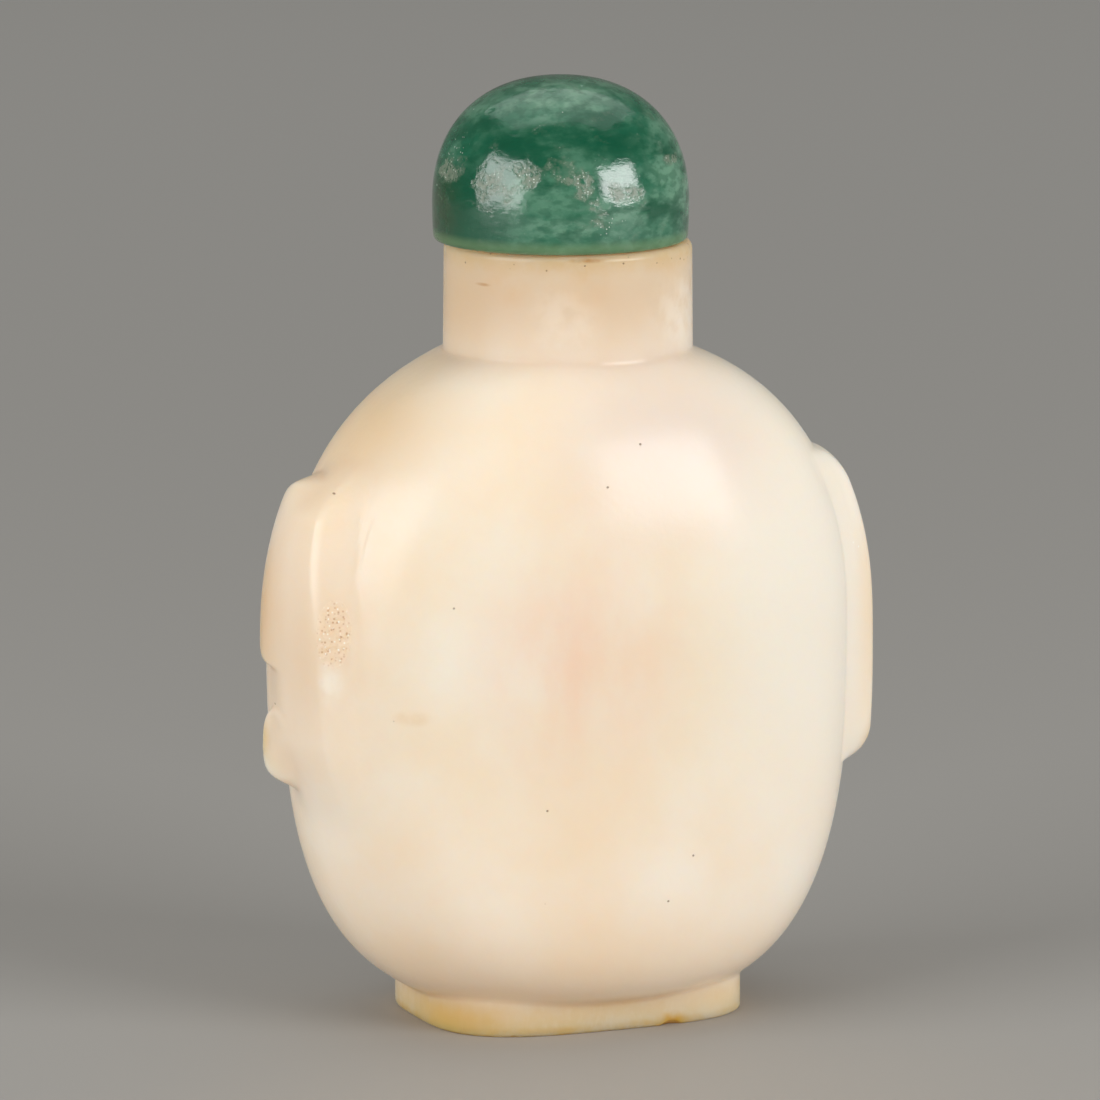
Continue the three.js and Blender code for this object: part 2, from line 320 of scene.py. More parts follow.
# Hand grinding leaves the faces very slightly uneven.
UNEVEN = {"size": 11.0, "depth": 0.07, "from_axis": 16}
ROUGH_PATCH = {
    "at": (-19.2, -5.8, 27.7),
    "reach": (1.7, 0.95, 2.6),
    "depth": 0.14,
    "grain": 0.4,
    "from_axis": 19,
}
for row in outside:
    for point in row:
        swell = noise.noise(Vector(point / UNEVEN["size"]))
        point[:2] *= 1 + swell * UNEVEN["depth"] / UNEVEN["from_axis"]
        offset = (point - ROUGH_PATCH["at"]) / ROUGH_PATCH["reach"]
        nearness = 1 - float(np.linalg.norm(offset))
        if nearness > 0:
            grain = noise.noise(Vector(point / ROUGH_PATCH["grain"]))
            dent = min(nearness * 2, 1) * ROUGH_PATCH["depth"] * (0.55 + grain)
            point[:2] *= 1 - dent / ROUGH_PATCH["from_axis"]

# A chip is a shallow scoop: points inside its ball are pushed out to the ball's surface.
for chip in FOOT_CHIPS.values():
    away = stone - np.array(chip["at"])
    distance = np.linalg.norm(away, axis=2, keepdims=True)
    scooped = np.array(chip["at"]) + away / np.maximum(distance, 1e-6) * chip["radius"]
    inside_ball = (distance < chip["radius"]) & (stone[..., 2:] < FOOT["z"])
    stone = np.where(inside_ball, scooped, stone)
stone[..., 2] = np.maximum(stone[..., 2], 0)

row_count = len(rings)
first_pole, last_pole = row_count * COLUMN_COUNT, row_count * COLUMN_COUNT + 1
points = [tuple(p) for p in stone.reshape(-1, 3) * MM]
points += [(0, 0, FOOT["sunk"] * MM), (0, 0, CAVITY["low"] * MM)]
faces = []
for column in range(COLUMN_COUNT):
    following = (column + 1) % COLUMN_COUNT
    faces.append((first_pole, following, column))
    last_row = (row_count - 1) * COLUMN_COUNT
    faces.append((last_pole, last_row + column, last_row + following))
    for row in range(0, last_row, COLUMN_COUNT):
        below, above = row, row + COLUMN_COUNT
        faces.append((below + column, below + following, above + following, above + column))
bottle_mesh = bpy.data.meshes.new("carved_bottle")
bottle_mesh.from_pydata(points, [], faces)
bottle_mesh.shade_smooth()
carved_bottle = bpy.data.objects.new("carved_bottle", bottle_mesh)
bpy.context.scene.collection.objects.link(carved_bottle)


# The bottle's stone.
# A cream-white stone that light sinks into, polished like wax, with a faint pink cloud in the front
# face, tan and amber stains towards the edges and the foot, and a scatter of fine dark pits. Painted
# shade and light lie over the body, neck and carvings, and painted glints on the worn edges.


def new_stone(name):
    """A material with its shader, and coordinates in mm on the object."""
    material = bpy.data.materials.new(name)
    material.use_nodes = True
    tree = material.node_tree
    shader = tree.nodes["Principled BSDF"]
    place = tree.nodes.new("ShaderNodeTexCoord")
    in_mm = tree.nodes.new("ShaderNodeMapping")
    in_mm.inputs["Scale"].default_value = (1 / MM, 1 / MM, 1 / MM)
    tree.links.new(place.outputs["Object"], in_mm.inputs["Vector"])
    return material, tree, shader, in_mm.outputs["Vector"]


def smooth_step(tree, value, low, high):
    """A smooth step: 0 where the value is at low, 1 where it is at high."""
    step = tree.nodes.new("ShaderNodeMapRange")
    step.interpolation_type = "SMOOTHSTEP"
    step.inputs["From Min"].default_value = low
    step.inputs["From Max"].default_value = high
    tree.links.new(value, step.inputs["Value"])
    return step.outputs["Result"]


def clouds(tree, coords, size, low, high, detail=3.0, stretch=(1, 1, 1), shift=0.0):
    """Noise with features about size mm across, 0 below low and 1 above high."""
    squeeze = tree.nodes.new("ShaderNodeMapping")
    squeeze.inputs["Location"].default_value = (shift, shift, shift)
    squeeze.inputs["Scale"].default_value = [1 / (size * s) for s in stretch]
    cloud = tree.nodes.new("ShaderNodeTexNoise")
    cloud.inputs["Scale"].default_value = 1.0
    cloud.inputs["Detail"].default_value = detail
    tree.links.new(coords, squeeze.inputs["Vector"])
    tree.links.new(squeeze.outputs["Vector"], cloud.inputs["Vector"])
    return smooth_step(tree, cloud.outputs["Fac"], low, high)


def patch(tree, coords, at, reach, core=0.2):
    """A soft oval patch: 1 in its core, 0 beyond its reach."""
    centred = tree.nodes.new("ShaderNodeVectorMath")
    centred.operation = "SUBTRACT"
    centred.inputs[1].default_value = at
    scaled = tree.nodes.new("ShaderNodeVectorMath")
    scaled.operation = "DIVIDE"
    scaled.inputs[1].default_value = reach
    length = tree.nodes.new("ShaderNodeVectorMath")
    length.operation = "LENGTH"
    tree.links.new(coords, centred.inputs[0])
    tree.links.new(centred.outputs[0], scaled.inputs[0])
    tree.links.new(scaled.outputs[0], length.inputs[0])
    return smooth_step(tree, length.outputs["Value"], 1.0, core)


def combine(tree, operation, a, b):
    """Math on two values, each a socket or a number."""
    math_node = tree.nodes.new("ShaderNodeMath")
    math_node.operation = operation
    for socket, value in zip(math_node.inputs, (a, b)):
        if isinstance(value, (int, float)):
            socket.default_value = value
        else:
            tree.links.new(value, socket)
    return math_node.outputs[0]


def tint(tree, under, over, amount, strength=1.0):
    """Lays the colour over on what is under it, by amount times strength."""
    mix = tree.nodes.new("ShaderNodeMix")
    mix.data_type = "RGBA"
    tree.links.new(combine(tree, "MULTIPLY", amount, strength), mix.inputs[0])
    for socket, colour in ((mix.inputs[6], under), (mix.inputs[7], over)):
        if isinstance(colour, tuple):
            socket.default_value = (*colour, 1)
        else:
            tree.links.new(colour, socket)
    return mix.outputs[2]


def specks(tree, coords, spacing, radius, share):
    """Sparse round dots: spacing apart in mm, radius across their middle, in a share of the cells."""
    scale = tree.nodes.new("ShaderNodeMapping")
    scale.inputs["Scale"].default_value = (1 / spacing, 1 / spacing, 1 / spacing)
    cells = tree.nodes.new("ShaderNodeTexVoronoi")
    cells.inputs["Scale"].default_value = 1.0
    tree.links.new(coords, scale.inputs["Vector"])
    tree.links.new(scale.outputs["Vector"], cells.inputs["Vector"])
    dot = tree.nodes.new("ShaderNodeMapRange")
    dot.inputs["From Min"].default_value = radius / spacing
    dot.inputs["From Max"].default_value = radius / spacing * 0.4
    tree.links.new(cells.outputs["Distance"], dot.inputs["Value"])
    split = tree.nodes.new("ShaderNodeSeparateColor")
    tree.links.new(cells.outputs["Color"], split.inputs[0])
    chosen = combine(tree, "LESS_THAN", split.outputs[0], share)
    return combine(tree, "MULTIPLY", dot.outputs["Result"], chosen)


def bump(tree, shader, height, depth):
    """Fine relief from a height of 0 to 1, depth mm deep."""
    node = tree.nodes.new("ShaderNodeBump")
    node.inputs["Strength"].default_value = 1.0
    node.inputs["Distance"].default_value = depth * MM
    tree.links.new(height, node.inputs["Height"])
    tree.links.new(node.outputs["Normal"], shader.inputs["Normal"])


CREAM = (0.89, 0.725, 0.55)
MILK = (0.91, 0.82, 0.715)
PINK = (0.88, 0.56, 0.39)
HONEY = (0.84, 0.63, 0.42)
SMOKY_TONE_AND_SHADE = (0.66, 0.49, 0.32)
TAN = (0.70, 0.46, 0.24)
AMBER = (0.66, 0.40, 0.12)
PAINTED_SHADE_PEARL = (0.77, 0.67, 0.60)
ORANGE = (0.72, 0.36, 0.06)
RUST = (0.45, 0.20, 0.06)
DARK_PIT = (0.14, 0.07, 0.035)
FROST = (0.97, 0.93, 0.86)

pale_stone, tree, shader, coords = new_stone("pale_stone")
colour = tint(tree, CREAM, MILK, clouds(tree, coords, 14, 0.3, 0.7, detail=5.0))
# Painted light: a milky patch whitens the body's right side, where it is lit more strongly.
colour = tint(tree, colour, MILK, patch(tree, coords, (14, -8, 27), (15, 14, 26), 0.2), 0.9)
wisps = clouds(tree, coords, 4, 0.3, 0.7, detail=6.0, stretch=(1, 1, 2.2))
pink_cloud = patch(tree, coords, (-4.5, -12.5, 26), (10, 9, 12), 0.0)
pink_cloud = combine(tree, "MULTIPLY", pink_cloud, combine(tree, "ADD", wisps, 0.4))
colour = tint(tree, colour, PINK, pink_cloud, 0.45)

# The foot is yellower, with milky flaws in it and an orange lower edge.
blotches = clouds(tree, coords, 1.8, 0.3, 0.7, detail=6.0, stretch=(1, 1, 0.8), shift=7.0)
flaws = clouds(tree, coords, 0.7, 0.5, 0.75, detail=7.0, stretch=(0.8, 0.8, 1.8), shift=2.0)
foot_band = patch(tree, coords, (0, 0, 0), (60, 60, 2.8), 0.6)
colour = tint(tree, colour, SMOKY_TONE_AND_SHADE, foot_band, 0.7)
colour = tint(tree, colour, AMBER, foot_band, 0.22)
colour = tint(tree, colour, AMBER, combine(tree, "MULTIPLY", foot_band, blotches), 0.42)
colour = tint(tree, colour, FROST, combine(tree, "MULTIPLY", foot_band, flaws), 0.1)
lower_edge = patch(tree, coords, (3, -9, 0), (60, 60, 0.75), 0.4)
lower_edge = combine(tree, "MULTIPLY", lower_edge, combine(tree, "ADD", blotches, 0.25))
colour = tint(tree, colour, ORANGE, lower_edge, 0.6)

# Stains and painted shade, each a soft patch: colour, middle, reach and strength. The even tints,
# several of them painted shade, come first, and the smaller stains have ragged edges.
EVEN_TINTS_AND_PAINTED_SHADE = (
    # Painted shade: the upper front is dulled where the lights fall brightest.
    (PAINTED_SHADE_PEARL, (2.5, -10, 39.5), (12, 12, 9.5), 0.8),
    # Yellower tone with painted shade: the left shoulder is tanner and a little darker than the better
    # lit right side.
    (HONEY, (-14, 0, 41), (13, 14, 10), 0.9),
    (AMBER, (-15, -3, 40), (8, 10, 8), 0.14),
    (HONEY, (-20.6, 1.0, 18.2), (4.0, 5.5, 4.5), 0.55),
    (HONEY, (0, -7, 6.4), (24, 12, 4.6), 0.35),
    (HONEY, (0, -6, 3.4), (40, 40, 5.0), 0.45),
    # Painted shade: the neck is darker under the cap, and darker again down its left side.
    (SMOKY_TONE_AND_SHADE, (0, 0, 49.5), (60, 60, 7.0), 0.82),
    (SMOKY_TONE_AND_SHADE, (-9.5, 0, 49), (5, 9, 7), 0.9),
    # Tan tone with painted shade along the left carving, darkest at its far edge by the outline.
    (SMOKY_TONE_AND_SHADE, (-19.5, -2, 26), (4, 7.5, 14), 0.58),
    (TAN, (-22.5, 2.5, 29), (3.4, 6.5, 14), 1.0),
    (TAN, (-21.9, 2.8, 29), (2.2, 3.5, 11), 0.75),
    (TAN, (0, 0, MOUTH_Z), (60, 60, 1.5), 0.75),
    (HONEY, (21.0, -4.5, 27), (3.0, 5.0, 13), 0.7),
    (TAN, (21.7, -3.0, 37.0), (3.4, 5.5, 3.2), 0.5),
    (TAN, (21.7, -3.5, 17.0), (3.4, 5.0, 2.6), 0.6),
    # Tan tone with painted shade along the right carving's outer edge.
    (TAN, (22.0, -3.5, 27), (1.9, 4.0, 12), 0.45),
    (AMBER, (-10.5, -4.5, 0.6), (6.0, 8, 2.8), 0.9),
    (HONEY, (8.0, -7.0, 1.2), (7, 6, 2.6), 0.5),
    (AMBER, (-21.3, 2.6, 19.6), (1.7, 1.8, 3.0), 0.8),
)
STAINS = (
    (TAN, (0, 0, MOUTH_Z), (60, 60, 1.9), 0.5),
    (TAN, (-2, -8, 50), (2.0, 3, 2.6), 0.3),
    (TAN, (-6.5, -5.5, 50), (2.0, 3, 1.8), 0.3),
    (TAN, (5.5, -6.5, 50.8), (3.0, 3, 1.4), 0.3),
    (RUST, (-7.6, -3.5, 49.9), (0.9, 0.9, 0.16), 0.4),
    (RUST, (-2.0, -8.1, 51.75), (2.0, 1.0, 0.22), 0.6),
    (MILK, (6.5, -5.5, 47.6), (6, 6, 4.4), 0.4),
    (MILK, (-3.5, -8.0, 47.6), (3.5, 4, 4.0), 0.25),
    (RUST, (3.95, -9.0, 0.1), (1.3, 0.9, 0.7), 0.5),
    (AMBER, (-14.8, -9.0, 22.3), (1.7, 1.6, 0.7), 0.2),
    (AMBER, (-18.9, -4.4, 22.0), (0.9, 1.0, 0.5), 0.3),
    (AMBER, (21.5, -3.0, 17.0), (3.0, 4.0, 2.4), 0.45),
    (ORANGE, (3.95, -9.0, 0.2), (2.0, 1.2, 1.0), 0.9),
)
ragged = combine(tree, "ADD", clouds(tree, coords, 1.3, 0.3, 0.65, detail=6.0, shift=5.0), 0.35)
for tint_colour, middle, reach, strength in EVEN_TINTS_AND_PAINTED_SHADE:
    colour = tint(tree, colour, tint_colour, patch(tree, coords, middle, reach, 0.0), strength)
for tint_colour, middle, reach, strength in STAINS:
    spot = combine(tree, "MULTIPLY", patch(tree, coords, middle, reach), ragged)
    colour = tint(tree, colour, tint_colour, spot, strength)

# The rough patch holds brown grit and painted glints, with a glassier smear below it that is painted
# white as a glint. Painted glints also dot the worn edges of both carvings.
rough_patch = patch(tree, coords, ROUGH_PATCH["at"], ROUGH_PATCH["reach"], 0.7)
colour = tint(tree, colour, HONEY, rough_patch, 0.3)
grit = combine(tree, "MULTIPLY", rough_patch, specks(tree, coords, 0.25, 0.1, 0.75))
colour = tint(tree, colour, RUST, grit, 0.55)
fracture_and_painted_glint = combine(tree, "MULTIPLY", patch(tree, coords, (-19.4, -5.8, 24.4), (1.7, 1.1, 2.3), 0.1), ragged)
colour = tint(tree, colour, FROST, fracture_and_painted_glint, 0.36)
glints = combine(tree, "MULTIPLY", rough_patch, specks(tree, coords, 0.28, 0.09, 0.45))
painted_edge_glints = patch(tree, coords, (-18.9, -6.0, 33.2), (1.6, 0.7, 3.6), 0.5)
painted_edge_glints = combine(tree, "MULTIPLY", painted_edge_glints, specks(tree, coords, 0.5, 0.09, 0.5))
painted_far_edge_glints = patch(tree, coords, (18.5, -5.4, 31.4), (1.6, 1.2, 1.8), 0.5)
painted_far_edge_glints = combine(tree, "MULTIPLY", painted_far_edge_glints, specks(tree, coords, 0.5, 0.1, 0.5))
glints = combine(tree, "ADD", glints, combine(tree, "ADD", painted_edge_glints, painted_far_edge_glints))
colour = tint(tree, colour, FROST, glints, 0.9)

# Fine dark pits are scattered all over, closer together under the lip, with a few larger single ones.
lip_dirt = patch(tree, coords, (0, 0, 51.5), (60, 60, 0.7), 0.5)
lip_dirt = combine(tree, "MULTIPLY", lip_dirt, specks(tree, coords, 0.45, 0.09, 0.3))
pits = combine(tree, "MAXIMUM", specks(tree, coords, 3.4, 0.1, 0.4), lip_dirt)
SINGLE_PITS = (
    (-6.5, -12.2, 16.1),
    (2.0, -12.5, 9.4),
    (-2.1, -11.8, 37.3),
    (0.5, -11.2, 39.9),
    (-18.0, -3.3, 36.6),
    (-20.7, 2.4, 19.3),
    (-20.9, 0.4, 22.1),
)
for middle in SINGLE_PITS:
    pits = combine(tree, "MAXIMUM", pits, patch(tree, coords, middle, (0.12, 0.3, 0.1), 0.3))
colour = tint(tree, colour, DARK_PIT, pits, 0.7)
tree.links.new(colour, shader.inputs["Base Color"])

ROUGHNESS = {"polished": 0.25, "rough_patch": 0.2, "fracture_and_painted_glint": 0.1}
roughness = combine(tree, "MULTIPLY", rough_patch, ROUGHNESS["rough_patch"])
roughness = combine(tree, "ADD", roughness, ROUGHNESS["polished"])
roughness = combine(tree, "SUBTRACT", roughness, combine(tree, "MULTIPLY", fracture_and_painted_glint, ROUGHNESS["fracture_and_painted_glint"]))
tree.links.new(roughness, shader.inputs["Roughness"])
grain = clouds(tree, coords, 0.5, 0.2, 0.8, detail=4.0)
coarseness = combine(tree, "ADD", combine(tree, "MULTIPLY", rough_patch, 8.0), 0.5)
surface = combine(tree, "MULTIPLY", grain, coarseness)
surface = combine(tree, "SUBTRACT", surface, combine(tree, "MULTIPLY", pits, 6.0))
bump(tree, shader, surface, 0.008)
shader.inputs["IOR"].default_value = 1.6
shader.inputs["Specular IOR Level"].default_value = 0.22
shader.inputs["Subsurface Weight"].default_value = 1.0
shader.inputs["Subsurface Radius"].default_value = (1.0, 0.84, 0.66)
shader.inputs["Subsurface Scale"].default_value = 4.0 * MM
bottle_mesh.materials.append(pale_stone)
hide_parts("bottle")
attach(carved_bottle, "root")


# The stopper.
# A domed cap of mottled green stone with a short peg below it, turned in one piece and dropped into
# the mouth a little off centre. Its outline is turned about its axis by Geometry Nodes.

cap_low, cap_high = (corner / MM for corner in map(np.array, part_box("stopper")))
CAP = {"base": 8.48, "skirt": 2.4, "edge": 0.35, "power": 2.26}
PEG = {"radius": 2.95, "chamfer": 0.3}
cap_radius = (cap_high[0] - cap_low[0]) / 2
cap_axis = (cap_low + cap_high) / 2
dome_height = cap_high[2] - MOUTH_Z - CAP["skirt"]

outline = [(0, cap_low[2]), (PEG["radius"] - PEG["chamfer"], cap_low[2])]
outline += [(PEG["radius"], cap_low[2] + PEG["chamfer"]), (PEG["radius"], MOUTH_Z)]
for turn in np.linspace(-math.pi / 2, 0, 6):
    edge_r = CAP["base"] - CAP["edge"] * (1 - math.cos(turn))
    outline.append((edge_r, MOUTH_Z + CAP["edge"] * (1 + math.sin(turn))))
for share in np.linspace(0.1, 0.9, 8):
    skirt_r = cap_radius - (cap_radius - CAP["base"]) * (1 - share) ** 2
    outline.append((skirt_r, MOUTH_Z + CAP["edge"] + (CAP["skirt"] - CAP["edge"]) * share))
for turn in np.linspace(0, math.pi / 2, 60):
    dome_r = cap_radius * max(math.cos(turn), 0) ** (2 / CAP["power"])
    dome_z = dome_height * math.sin(turn) ** (2 / CAP["power"])
    outline.append((dome_r if turn < 1.57 else 0, MOUTH_Z + CAP["skirt"] + dome_z))
outline_mesh = bpy.data.meshes.new("stopper_outline")
outline_mesh.from_pydata(
    [(r * MM, 0, z * MM) for r, z in outline], [(i, i + 1) for i in range(len(outline) - 1)], []
)
cap_profile = bpy.data.objects.new("stopper_outline", outline_mesh)
bpy.context.scene.collection.objects.link(cap_profile)
green_stone, cap_tree, cap_shader, cap_coords = new_stone("green_stone")


def turning_tree():
    """Geometry Nodes that turn an outline about its axis and pit the turned surface."""
    group = bpy.data.node_groups.new("turned_stone", "GeometryNodeTree")
    face = group.interface
    face.new_socket("Outline", in_out="INPUT", socket_type="NodeSocketGeometry")
    for name, kind in (
        ("Axis", "NodeSocketVector"),
        ("Around", "NodeSocketInt"),
        ("Along", "NodeSocketInt"),
        ("Pit Size", "NodeSocketFloat"),
        ("Pit Depth", "NodeSocketFloat"),
        ("Pit Seed", "NodeSocketFloat"),
    ):
        face.new_socket(name, in_out="INPUT", socket_type=kind)
    face.new_socket("Solid", in_out="OUTPUT", socket_type="NodeSocketGeometry")
    nodes, links = group.nodes, group.links
    given = nodes.new("NodeGroupInput").outputs

    def node(kind, *inputs, **settings):
        made = nodes.new(kind)
        for key, value in settings.items():
            setattr(made, key, value)
        for socket, value in inputs:
            if isinstance(value, bpy.types.NodeSocket):
                links.new(value, made.inputs[socket])
            else:
                made.inputs[socket].default_value = value
        return made

    curve = node("GeometryNodeMeshToCurve", ("Mesh", given["Outline"]))
    grid = node(
        "GeometryNodeMeshGrid",
        ("Size X", 1.0),
        ("Size Y", 1.0),
        ("Vertices X", given["Around"]),
        ("Vertices Y", given["Along"]),
    )
    spot = node("ShaderNodeSeparateXYZ", (0, nodes.new("GeometryNodeInputPosition").outputs[0]))
    turn = node("ShaderNodeMath", (0, spot.outputs["X"]), (1, math.tau), operation="MULTIPLY")
    share = node("ShaderNodeMath", (0, spot.outputs["Y"]), (1, 0.5), operation="ADD")
    sample = node(
        "GeometryNodeSampleCurve",
        ("Curves", curve.outputs[0]),
        ("Factor", share.outputs[0]),
        mode="FACTOR",
        use_all_curves=True,
    )
    turned = node(
        "ShaderNodeVectorRotate",
        ("Vector", sample.outputs["Position"]),
        ("Angle", turn.outputs[0]),
        rotation_type="Z_AXIS",
    )
    placed = node("ShaderNodeVectorMath", (0, turned.outputs[0]), (1, given["Axis"]), operation="ADD")
    shaped = node(
        "GeometryNodeSetPosition", ("Geometry", grid.outputs["Mesh"]), ("Position", placed.outputs[0])
    )
    closed = node("GeometryNodeMergeByDistance", ("Geometry", shaped.outputs[0]), ("Distance", 2e-6))
    per_pit = node("ShaderNodeMath", (0, 1.0), (1, given["Pit Size"]), operation="DIVIDE")
    speck = node(
        "ShaderNodeTexNoise",
        ("Vector", nodes.new("GeometryNodeInputPosition").outputs[0]),
        ("W", given["Pit Seed"]),
        ("Scale", per_pit.outputs[0]),
        ("Detail", 2.0),
        noise_dimensions="4D",
    )
    pit = node("ShaderNodeMapRange", ("Value", speck.outputs[0]), ("From Min", 0.62), ("From Max", 0.74))
    depth = node("ShaderNodeMath", (0, pit.outputs[0]), (1, given["Pit Depth"]), operation="MULTIPLY")
    inward = node("ShaderNodeMath", (0, depth.outputs[0]), (1, -1.0), operation="MULTIPLY")
    push = node(
        "ShaderNodeVectorMath",
        (0, nodes.new("GeometryNodeInputNormal").outputs[0]),
        ("Scale", inward.outputs[0]),
        operation="SCALE",
    )
    pitted = node(
        "GeometryNodeSetPosition", ("Geometry", closed.outputs[0]), ("Offset", push.outputs[0])
    )
    smooth = node("GeometryNodeSetShadeSmooth", ("Geometry", pitted.outputs[0]))
    real = node("GeometryNodeRealizeInstances", ("Geometry", smooth.outputs[0]))
    painted = node("GeometryNodeSetMaterial", ("Geometry", real.outputs[0]), ("Material", green_stone))
    links.new(painted.outputs[0], nodes.new("NodeGroupOutput").inputs[0])
    return group


TURNING = {
    "Axis": (cap_axis[0] * MM, cap_axis[1] * MM, 0),
    "Around": 180,
    "Along": 220,
    "Pit Size": 0.55 * MM,
    "Pit Depth": 0.05 * MM,
    "Pit Seed": 3.0,
}
turning = cap_profile.modifiers.new("turning", "NODES")
turning.node_group = turning_tree()
for item in turning.node_group.interface.items_tree:
    if item.name in TURNING:
        turning[item.identifier] = TURNING[item.name]
evaluated = cap_profile.evaluated_get(bpy.context.evaluated_depsgraph_get())
stopper_mesh = bpy.data.meshes.new_from_object(evaluated)
stopper_mesh.name = "green_stopper"
green_stopper = bpy.data.objects.new("green_stopper", stopper_mesh)
bpy.context.scene.collection.objects.link(green_stopper)
cap_profile.modifiers.remove(turning)
bpy.data.objects.remove(cap_profile)

DEEP_GREEN = (0.0, 0.078, 0.036)
LEAF_GREEN = (0.008, 0.125, 0.064)
MIST_GREEN = (0.145, 0.305, 0.205)
OLIVE = (0.17, 0.27, 0.12)
PAINTED_SHADE_MOSS = (0.02, 0.055, 0.018)
SAND = (0.165, 0.21, 0.15)
WHITE_CHIP = (0.70, 0.80, 0.72)

# Pale mist and wisps lie in the leaf green, and dark veins and flakes run through both.
mist = clouds(cap_tree, cap_coords, 3.2, 0.42, 0.66, detail=9.0, stretch=(1.4, 1.4, 0.8))
wisp = clouds(cap_tree, cap_coords, 1.1, 0.4, 0.66, detail=9.0, stretch=(1.3, 1.3, 0.8), shift=4.0)
green = tint(cap_tree, LEAF_GREEN, MIST_GREEN, mist, 0.55)
LIGHTER_GREEN = (
    ((7.5, -5.0, 56.5), (8, 8, 7), 1.0),
    ((6.5, -5.0, 56.5), (5, 6, 5), 1.0),
    ((-2, -8, 54), (8, 5, 1.6), 0.6),
    ((-2.6, -4, 62), (6, 6, 2.2), 0.9),
)
uneven_wisp = combine(cap_tree, "ADD", wisp, 0.4)
for middle, reach, strength in LIGHTER_GREEN:
    lighter = combine(cap_tree, "MULTIPLY", patch(cap_tree, cap_coords, middle, reach, 0.1), uneven_wisp)
    green = tint(cap_tree, green, MIST_GREEN, lighter, strength)
veins = clouds(cap_tree, cap_coords, 2.4, 0.5, 0.66, detail=9.0, stretch=(1.6, 1.6, 0.7), shift=11.0)
# A darker band across the cap's front: stone tone and a painted dark reflection.
dark_tone_and_painted_reflection = patch(cap_tree, cap_coords, (-3.5, -6.3, 59.2), (9, 6, 2.0), 0.3)
dark_tone_and_painted_reflection = combine(cap_tree, "MULTIPLY", dark_tone_and_painted_reflection, combine(cap_tree, "SUBTRACT", 1.35, mist))
# Painted shade darkens the cap's left edge.
painted_dark_left_edge = patch(cap_tree, cap_coords, (-8.7, -2.5, 54.8), (4.4, 6.0, 4.6), 0.4)
green = tint(cap_tree, green, MIST_GREEN, wisp, 0.3)
for depth in (veins, dark_tone_and_painted_reflection, painted_dark_left_edge):
    green = tint(cap_tree, green, DEEP_GREEN, depth, 0.85)
# More painted shade on the cap's left rim, in dark moss green.
painted_shade_left_rim = patch(cap_tree, cap_coords, (-9.2, 0.8, 54.4), (3.2, 4.5, 4.2), 0.2)
green = tint(cap_tree, green, PAINTED_SHADE_MOSS, painted_shade_left_rim, 0.85)
flakes = clouds(cap_tree, cap_coords, 0.6, 0.42, 0.62, detail=9.0, stretch=(1.3, 1.3, 0.8), shift=3.0)
green = tint(cap_tree, green, DEEP_GREEN, flakes, 0.4)
lower_rim = patch(cap_tree, cap_coords, (0, 0, 52.3), (30, 30, 0.9), 0.3)
green = tint(cap_tree, green, OLIVE, lower_rim, 0.5)

# Granular inclusions cross the front in a ragged band, dull among the polish.
INCLUSIONS = (
    ((-8.4, -0.6, 56.9), (1.8, 3.2, 1.7)),
    ((-7.0, -4.2, 56.4), (2.8, 3.0, 2.7)),
    ((-5.6, -6.0, 57.2), (2.2, 2.2, 1.8)),
    ((-3.6, -7.3, 57.4), (2.6, 2.0, 1.5)),
    ((-2.2, -7.9, 56.6), (1.5, 1.8, 1.9)),
    ((-1.3, -8.3, 55.2), (1.4, 1.8, 1.9)),
    ((0.7, -8.2, 55.9), (2.9, 2.2, 1.6)),
    ((4.8, -5.5, 57.8), (1.4, 1.8, 1.0)),
)
inclusion = 0.0
for middle, reach in INCLUSIONS:
    inclusion = combine(cap_tree, "MAXIMUM", inclusion, patch(cap_tree, cap_coords, middle, reach, 0.0))
ragged_edge = clouds(
    cap_tree, cap_coords, 1.2, 0.25, 0.75, detail=9.0, stretch=(1.3, 1.3, 0.8), shift=6.0
)
inclusion = combine(cap_tree, "ADD", inclusion, combine(cap_tree, "MULTIPLY", ragged_edge, 1.1))
inclusion = smooth_step(cap_tree, inclusion, 0.85, 1.6)
grain = clouds(cap_tree, cap_coords, 0.3, 0.25, 0.62, detail=9.0)
inclusion = combine(cap_tree, "MULTIPLY", inclusion, grain)
green = tint(cap_tree, green, SAND, inclusion, 1.0)
chipped = patch(cap_tree, cap_coords, (-8.1, -0.5, 58.5), (1.3, 1.6, 1.5), 0.5)
dotted = patch(cap_tree, cap_coords, (-0.3, -8.3, 53.9), (1.3, 1.3, 0.9), 0.5)
sparkle = combine(cap_tree, "MAXIMUM", chipped, dotted)
sparkle = combine(cap_tree, "MAXIMUM", sparkle, combine(cap_tree, "MULTIPLY", inclusion, 1.5))
sparkle = combine(cap_tree, "MULTIPLY", specks(cap_tree, cap_coords, 0.2, 0.06, 0.35), sparkle)
sparkle = combine(cap_tree, "MAXIMUM", sparkle, specks(cap_tree, cap_coords, 1.3, 0.07, 0.35))
green = tint(cap_tree, green, WHITE_CHIP, sparkle, 0.7)
cap_tree.links.new(green, cap_shader.inputs["Base Color"])
cap_rough = combine(cap_tree, "ADD", combine(cap_tree, "MULTIPLY", inclusion, 0.3), 0.13)
cap_tree.links.new(cap_rough, cap_shader.inputs["Roughness"])
cap_surface = combine(cap_tree, "SUBTRACT", flakes, combine(cap_tree, "MULTIPLY", inclusion, 6.0))
bump(cap_tree, cap_shader, cap_surface, 0.004)
cap_shader.inputs["IOR"].default_value = 1.62
cap_shader.inputs["Subsurface Weight"].default_value = 0.2
cap_shader.inputs["Subsurface Radius"].default_value = (0.5, 1.0, 0.6)
cap_shader.inputs["Subsurface Scale"].default_value = 0.6 * MM
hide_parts("stopper")
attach(green_stopper, "root")


